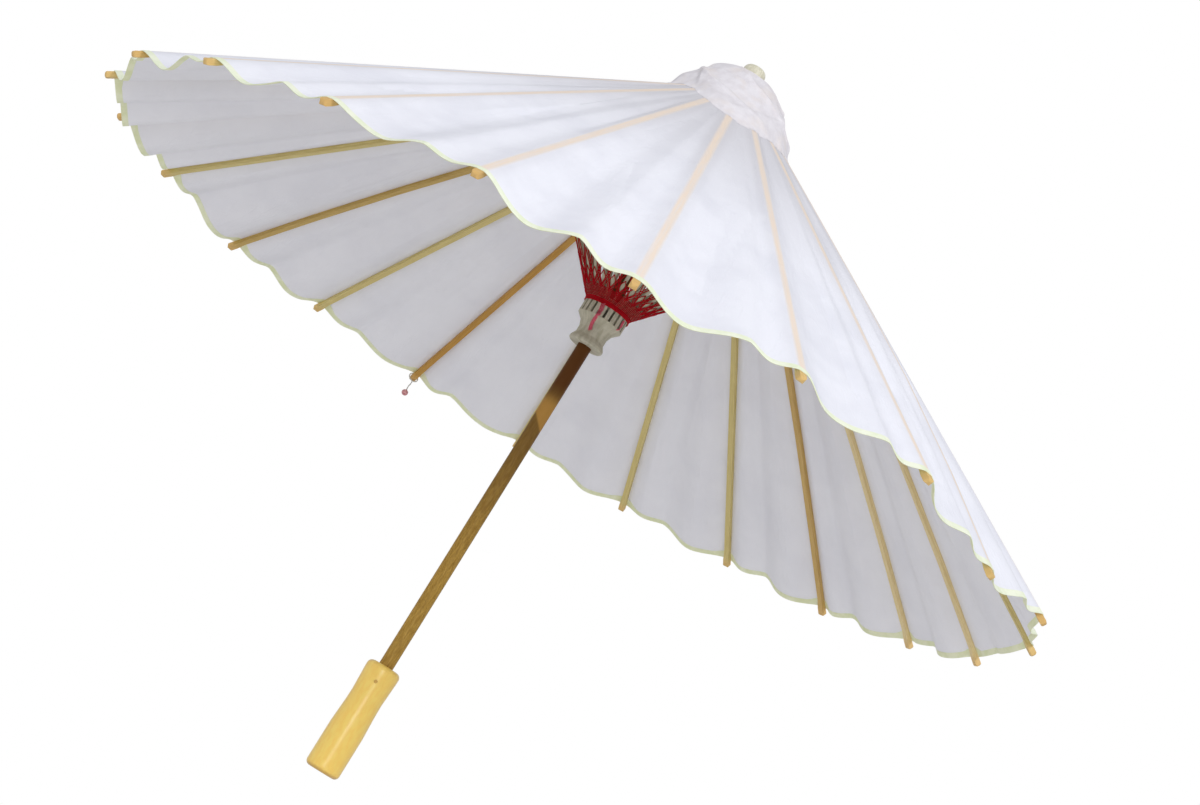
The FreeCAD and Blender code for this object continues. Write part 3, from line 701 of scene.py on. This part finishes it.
def gore_piece(number, side, shares):
    """The part of one gore that goes with one rib, and its stretch of the edge band."""
    normals = gore_normals(number, ROWS, shares)
    piece = thin_sheet(
        f"paper_{side}_{number:02d}",
        gore_point(number, ROWS, shares, PAPER_OVER),
        gore_point(number, ROWS, shares, PAPER_UNDER),
        PAPER,
        normals=normals,
    )
    along, share = np.broadcast_arrays(ROWS, shares)
    width = gore_width(along)
    across = rib_half_width(along) + share * width
    place = np.stack([along, across, np.full(along.shape, float(number))], axis=-1)
    store(piece, "paper", np.tile(place.reshape(-1, 3), (2, 1)))
    from_rib = rib_half_width(along) + np.minimum(share, 1 - share) * width
    store(piece, "from_rib", np.tile(from_rib.ravel(), 2))
    near_rib = 1 - smooth_step(np.minimum(shares, 1 - shares) / 0.12)
    rim = rim_piece(
        f"rim_{side}_{number:02d}", lambda along, above: gore_point(number, along, shares, above), near_rib
    )
    return piece, rim


def strip_over_rib(number):
    """The narrow strip of paper that is glued along the top of one rib."""
    across = np.linspace(-1, 1, 5)
    flat = rib_half_width(ROWS) * across
    piece = thin_sheet(
        f"paper_on_rib_{number:02d}",
        bowed_rib_point(number, ROWS, flat, PAPER_OVER),
        bowed_rib_point(number, ROWS, flat, PAPER_UNDER),
        PAPER,
    )
    along = np.broadcast_to(ROWS, flat.shape)
    place = np.stack([along, flat, np.full(flat.shape, number + 0.5)], axis=-1)
    store(piece, "paper", np.tile(place.reshape(-1, 3), (2, 1)))
    store(piece, "from_rib", np.tile(np.abs(flat).ravel(), 2))
    edge = rib_half_width(PAPER_END) * across
    rim = rim_piece(
        f"rim_on_rib_{number:02d}",
        lambda along, above: bowed_rib_point(number, along, edge, above),
        np.ones(len(across)),
    )
    return piece, rim


def fold_with(piece, number):
    """Ride on a rib, with a mesh of its own."""
    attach(piece, f"long_rib_{number:02d}")
    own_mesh(piece)


def near_shares(fold):
    """Columns from a rib's edge to the fold in the gore, closer together beside the rib."""
    return np.concatenate([[0.0, 0.012, 0.03, 0.055], np.linspace(0.085, fold, 20)])


def far_shares(fold):
    return np.concatenate([np.linspace(fold, 0.93, 10), [0.95, 0.97, 0.988, 1.0]])


for number in range(RIB_COUNT):
    fold = GORES[number]["fold"]
    following = (number + 1) % RIB_COUNT
    strip, strip_rim = strip_over_rib(number)
    near, near_rim = gore_piece(number, "near", near_shares(fold))
    far, far_rim = gore_piece(number, "far", far_shares(fold))
    for piece in (strip, near, far):
        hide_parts("canopy")
    for piece in (strip_rim, near_rim, far_rim):
        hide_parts("rim_band")
    for piece in (strip, strip_rim):
        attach(piece, f"long_rib_{number:02d}")
    for piece in (near, near_rim):
        fold_with(piece, number)
    for piece in (far, far_rim):
        fold_with(piece, following)


# ---------------------------------------------------------------- the cap

CAP = cap_paper()
CAP_THICKNESS = 0.3

# The cap's outline from the knob outwards, as places along and above a rib's line.
CAP_LINE = [
    (-9.9, 11.5), (-9.2, 12.7), (-6.2, 13.5), (-2.0, 14.1), (3.0, 14.0), (9.8, 13.2), (16.9, 11.9),
    (24.2, 9.9), (31.3, 7.6), (37.0, 6.5), (45.0, 5.7), (58.0, 5.2), (70.0, 5.2),
]
# How high the cap's edge lies over the ribs, and over what length it comes down to the paper.
CAP_REST = 3.9
CAP_SETTLES = 12.0
# Lengths from the knob: where the crown ends, where the skirt begins under it, and how far the skirt reaches.
CROWN_REACH = 24.0
SKIRT_START = 4.0
SKIRT_REACH = 48.5


def line_by_length(corners, rounding):
    """A line through corners, rounded off a little, as lengths along it and its two coordinates."""
    corners = np.array(corners)
    lengths = np.concatenate([[0.0], np.cumsum(np.hypot(*np.diff(corners, axis=0).T))])
    fine = np.arange(0.0, lengths[-1], 0.25)
    kernel = np.hanning(rounding)
    kernel /= kernel.sum()
    smooth = []
    for values in corners.T:
        dense = np.interp(fine, lengths, values)
        half = rounding // 2
        before = 2 * dense[0] - dense[half:0:-1]
        after = 2 * dense[-1] - dense[-2:-half - 2:-1]
        smooth.append(np.convolve(np.concatenate([before, dense, after]), kernel, "valid"))
    return fine, smooth[0], smooth[1]


CAP_LENGTHS, CAP_ALONG, CAP_ABOVE = line_by_length(CAP_LINE, 25)


def waves(angle, along, seed, counts, lean):
    """Uneven gathers round the shaft, between about -1 and 1, that lean as they run outwards."""
    chance = random.Random(seed)
    height = np.zeros(np.broadcast(angle, along).shape)
    for count, share in counts:
        slant = chance.uniform(0.4, 1.0) * lean
        height = height + share * np.sin(count * angle + slant * along + chance.uniform(0, TURN))
    return height


def bump(value, middle, width):
    return np.exp(-(((value - middle) / width) ** 2))


def cap_length(angle):
    """How far the cap reaches from the knob: a long flap to the front, ragged all round."""
    degrees = np.degrees((angle + math.pi) % TURN) - 180
    flap = 17.0 * bump(degrees, -84.0, 25.0) + 11.0 * bump(degrees, -46.0, 42.0)
    return SKIRT_REACH + flap + 1.6 * waves(angle, 0.0, 82, ((5, 0.4), (9, 0.4), (16, 0.3), (29, 0.15)), 0.0)


def cap_relief(angle, length):
    """Soft gathers, a few long folds that wind round the cap, and the flap wrapped over the rest."""
    away = smooth_step((length - 4.0) / 14.0)
    gathers = 0.75 * waves(angle, length, 71, ((4, 0.5), (7, 0.4), (12, 0.22)), 0.07)
    winding = 0.0
    for start, twist, depth in ((-2.3, 0.045, 1.3), (-0.5, 0.03, 1.2), (0.9, -0.04, 1.2), (2.4, 0.05, 1.3)):
        off = np.sin((angle - start - twist * length) / 2)
        winding = winding + depth * np.exp(-((off / 0.055) ** 2))
    degrees = np.degrees((angle + math.pi) % TURN) - 180
    flap_edge = degrees + 168.0 - 1.0 * length
    flap = smooth_step(flap_edge / 5.0) * smooth_step((75.0 - degrees) / 5.0)
    flap = flap * smooth_step((length - 3.0) / 6.0)
    fade = 1 - 0.6 * smooth_step((length - 40.0) / 15.0)
    return away * fade * (gathers + winding) + 1.5 * flap


def paper_dip(angle, along):
    """How far the paper between two ribs lies below a cone through the ribs."""
    angle, along = np.broadcast_arrays(angle, along)
    place = (angle / GORE_ANGLE) % RIB_COUNT
    before = np.floor(place)
    share = place - before
    radius = TOP_HINGE[0] + along * math.cos(RIB_SLOPE)
    facet = 1 - math.cos(GORE_ANGLE / 2) / np.cos((share - 0.5) * GORE_ANGLE)
    dip = radius * facet * math.sin(RIB_SLOPE)
    for number in range(RIB_COUNT):
        hang = sag(number, np.maximum(along, 0.0), share) - relief(number, along, share)
        dip = dip + np.where(before == number, hang, 0.0)
    return dip


def settling(angle, length):
    """How far the cap has come down to lie on the paper: 0 on its crown, 1 at its edge."""
    return smooth_step((length - cap_length(angle) + CAP_SETTLES) / CAP_SETTLES)


def cap_point(angle, length, lift):
    """Points of the cap at a length from the knob along its outline, lifted off its underside."""
    along = np.interp(length, CAP_LENGTHS, CAP_ALONG)
    above = np.interp(length, CAP_LENGTHS, CAP_ABOVE)
    slope = np.arctan2(
        np.interp(length + 1, CAP_LENGTHS, CAP_ABOVE) - above,
        np.interp(length + 1, CAP_LENGTHS, CAP_ALONG) - along,
    )
    settled = settling(angle, length)
    above = above + settled * (CAP_REST - paper_dip(angle, along) - above)
    proud = cap_relief(angle, length) * (1 - settled) + lift
    return rib_point(angle / GORE_ANGLE, along - proud * np.sin(slope), 0.0, above + proud * np.cos(slope))


def cap_sheet(name, angles, lengths, lift, thickness, ring=False):
    """One thin sheet of the cap. The lengths are given for each row and angle."""
    step = 0.25
    nearer = cap_point(angles, np.maximum(lengths - step, 0), lift)
    outwards = cap_point(angles, lengths + step, lift) - nearer
    around = cap_point(angles + 0.01, lengths, lift) - cap_point(angles - 0.01, lengths, lift)
    return thin_sheet(
        name, cap_point(angles, lengths, lift + thickness), cap_point(angles, lengths, lift), [CAP],
        ring=ring, normals=unit(np.cross(outwards, around)),
    )


def crown_of_cap():
    """The rolled collar under the knob and the top of the cap. It stays with the shaft."""
    count = RIB_COUNT * 10
    angles = np.arange(count) * TURN / count
    reach = CROWN_REACH + 1.2 * waves(angles, 0.0, 72, ((3, 0.5), (8, 0.5), (17, 0.2)), 0.0)
    share = np.linspace(0, 1, 44)[:, None]
    lift = 0.65 - 0.33 * smooth_step((share - 0.6) / 0.4)
    thickness = CAP_THICKNESS * (1 - 0.8 * smooth_step((share - 0.75) / 0.25))
    return cap_sheet("cap_crown", angles, share * reach, lift, thickness, ring=True)


def skirt_of_cap(number):
    """One rib's share of the cap's skirt. The part that the crown hides is wider, to fill the closed cap."""
    share = np.linspace(0, 1, 72)[:, None]
    angles = (number + np.linspace(-0.5, 0.5, 13)) * GORE_ANGLE
    lengths = SKIRT_START + share * (cap_length(angles) - SKIRT_START)
    widened = 1 + 1.9 * (1 - smooth_step((lengths - SKIRT_START) / (CROWN_REACH - 2.0 - SKIRT_START)))
    angles = number * GORE_ANGLE + (angles - number * GORE_ANGLE) * widened
    thickness = CAP_THICKNESS * (1 - 0.7 * settling(angles, lengths))
    return cap_sheet(f"cap_skirt_{number:02d}", angles, lengths, 0.0, thickness)


cap_pieces = [crown_of_cap()]
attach(cap_pieces[0], "frame")
for number in range(RIB_COUNT):
    skirt = skirt_of_cap(number)
    fold_with(skirt, number)
    cap_pieces.append(skirt)
for piece in cap_pieces:
    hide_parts("cap")


# ---------------------------------------------------------------- the threads

BELOW_RIB = -2.35
LACING_RADIUS = 0.27
BAND_RADIUS = 14.22
BAND_FOOT = 300.1
BAND_HEIGHT = 2.8


def lacing_paths(number):
    """Red thread round the short ribs: close turns by the runner, then strands that cross to both sides."""
    chance = random.Random(900 + number)
    paths = []
    for turn in range(10):
        along = 4.5 + 0.8 * turn
        here = short_rib_point(number, along, 0.0, BELOW_RIB + chance.uniform(-0.12, 0.12))
        sides = [short_rib_point(number + side, along, 0.0, BELOW_RIB) for side in (-1, 1)]
        paths.append([(here + sides[0]) / 2, here, (here + sides[1]) / 2])
    for side in (-1, 1):
        for low, high in ((10.5, 21.0), (11.5, 31.0), (12.5, 42.0)):
            for start, end in ((low, high), (high, low)):
                here = short_rib_point(number, start, 0.0, BELOW_RIB)
                there = short_rib_point(number + side, end, 0.0, BELOW_RIB)
                paths.append([here, (here + there) / 2])
    return paths


for number in range(RIB_COUNT):
    lacing = thread_piece(f"lacing_{number:02d}", lacing_paths(number), LACING_RADIUS, RED_THREAD)
    azimuth = number * GORE_ANGLE
    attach(lacing, f"short_rib_{number:02d}")
    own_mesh(lacing)
    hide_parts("lacing")


def lacing_band():
    """The turns of red thread wound round the runner's rim, under the short ribs."""
    turns = 4
    places = np.linspace(0, 1, 60 * turns)
    angles = TURN * turns * places
    radius = BAND_RADIUS + 0.08 * np.sin(7 * angles / turns)
    height = BAND_FOOT + BAND_HEIGHT * places
    band = thread_piece(
        "lacing_band", [np.stack([radius * np.cos(angles), radius * np.sin(angles), height], axis=-1)],
        0.38, RED_THREAD,
    )
    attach(band, "runner")
    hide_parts("lacing")


lacing_band()


def loose_end(name, azimuth, profile, wander, strands):
    """An end of the lacing that lies against the runner, as a few strands side by side."""
    paths = []
    for strand in range(strands):
        path = []
        for step, (radius, height) in enumerate(profile):
            aside = 0.055 * (strand - 0.5 * (strands - 1))
            angle = math.radians(azimuth) + wander * math.sin(1.1 * step) + aside
            path.append([radius * math.cos(angle), radius * math.sin(angle), height + 0.5 * strand])
        paths.append(path)
    piece = thread_piece(name, paths, 0.4, thread(name, shade(224, 116, 130), shade(200, 78, 98)))
    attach(piece, "runner")


loose_end(
    "loose_thread_front", -98.0,
    [(14.4, 300.0), (14.3, 296.0), (14.2, 293.2), (12.4, 290.8), (10.9, 288.4), (10.0, 286.0), (9.8, 284.0)],
    0.06, 3,
)
loose_end("loose_thread_side", -32.0, [(14.4, 299.0), (14.4, 295.2), (14.2, 293.4), (13.6, 292.6)], 0.05, 2)


# ---------------------------------------------------------------- the closing bead

BEAD_RIB = 7
LOOP_PLACE = 346.9
LOOP_RADIUS = 3.3
LOOP_MIDDLE = 1.85
BEAD_DROP = 9.5
BEAD_RADIUS = 2.2


def closing_bead():
    """A loop of thread round the rib's tip, the thread that hangs from it, and a drilled bead."""
    turns = np.linspace(0, TURN, 37)
    loop_above = LOOP_MIDDLE + LOOP_RADIUS * np.cos(turns)
    loop = rib_point(BEAD_RIB, LOOP_PLACE, LOOP_RADIUS * np.sin(turns), loop_above)
    foot = rib_point(BEAD_RIB, LOOP_PLACE, 0.0, LOOP_MIDDLE - LOOP_RADIUS)
    drops = np.linspace(0, BEAD_DROP - BEAD_RADIUS, 8)
    hanging = [foot + np.array([0.25 * math.sin(0.9 * drop), 0.0, -drop]) for drop in drops]
    threads = thread_piece("bead_thread", [loop, hanging], 0.4, PLAIN["upper_notch_thread"])
    centre = foot - np.array([0.0, 0.0, BEAD_DROP])
    angles = np.arange(24) * TURN / 24
    rows = []
    for step in range(13):
        lift = math.pi * (0.12 + 0.76 * step / 12)
        girth, height = 1.04 * math.sin(lift), math.cos(lift)
        rows.append([
            centre + BEAD_RADIUS * np.array([girth * math.cos(angle), girth * math.sin(angle), height])
            for angle in angles
        ])
    outer = np.array(rows)
    inner = centre + (outer - centre) * np.array([0.35, 0.35, 0.9])
    bead = thin_sheet("bead", outer, inner, [bead_gloss()], ring=True)
    for piece, slot in ((threads, "white_thread"), (bead, "bead")):
        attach(piece, f"long_rib_{BEAD_RIB:02d}")
        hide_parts("closing_bead")


closing_bead()


# ---------------------------------------------------------------- the stage


def make_floor():
    """A near-white floor below the umbrella. It lights the inside of the canopy."""
    mesh = bpy.data.meshes.new("floor")
    half, height = 2.2, -0.36
    corners = [(-half, -half, height), (half, -half, height), (half, half, height), (-half, half, height)]
    mesh.from_pydata(corners, [], [(0, 1, 2, 3)])
    material, _, shader = new_material("floor", 0.9, specular=0.1)
    shader.inputs["Base Color"].default_value = (0.9, 0.9, 0.9, 1.0)
    mesh.materials.append(material)
    floor = bpy.data.objects.new("floor", mesh)
    bpy.context.scene.collection.objects.link(floor)


def make_world():
    """White all round to the eye, and a little brighter from below than from above as light."""
    world = bpy.data.worlds.new("studio")
    world.use_nodes = True
    bpy.context.scene.world = world
    tree = world.node_tree
    background = tree.nodes["Background"]
    direction = add(tree, "TexCoord").outputs["Generated"]
    height = add(tree, "SeparateXYZ", {0: direction}).outputs[2]
    from_below, from_above = (0.65, 0.65, 0.665, 1.0), (0.525, 0.53, 0.546, 1.0)
    light = mixed(tree, spread(tree, height, -0.35, 0.35), from_below, from_above)
    seen = add(tree, "LightPath").outputs["Is Camera Ray"]
    tree.links.new(mixed(tree, seen, light, (1.0, 1.0, 1.0, 1.0)), background.inputs["Color"])


def make_light(name, place, size, power):
    """A square lamp that faces the runner, with its size in metres and its power in watts."""
    light = bpy.data.lights.new(name, "AREA")
    light.size = size
    light.energy = power
    lamp = bpy.data.objects.new(name, light)
    lamp.location = place
    lamp.rotation_mode = "QUATERNION"
    lamp.rotation_quaternion = (Vector((0, 0, 0.3)) - Vector(place)).to_track_quat("-Z", "Y")
    bpy.context.scene.collection.objects.link(lamp)


def make_camera():
    """A long lens, low in front of the umbrella, looking up a little and rolled to one side."""
    azimuth, elevation, roll = math.radians(6.29), math.radians(-10.99), math.radians(31.64)
    back = Vector((
        math.sin(azimuth) * math.cos(elevation),
        -math.cos(azimuth) * math.cos(elevation),
        math.sin(elevation),
    ))
    camera = bpy.data.objects.new("camera", bpy.data.cameras.new("camera"))
    camera.data.lens = 68.74
    camera.data.sensor_width = 36.0
    camera.location = Vector((0.0238, 0.0026, 0.2541)) + back * 1.288
    camera.rotation_mode = "QUATERNION"
    camera.rotation_quaternion = (-back).to_track_quat("-Z", "Y") @ Quaternion((0, 0, 1), roll)
    bpy.context.scene.collection.objects.link(camera)
    bpy.context.scene.camera = camera


make_floor()
make_world()
make_light("key", (0.9, -1.6, 1.7), 0.7, 19.5)
make_light("fill", (-1.8, -0.6, 1.0), 1.6, 3.0)
make_light("front", (0.3, -2.3, 0.3), 0.5, 7.0)
make_camera()
bpy.context.scene.view_settings.view_transform = "Standard"
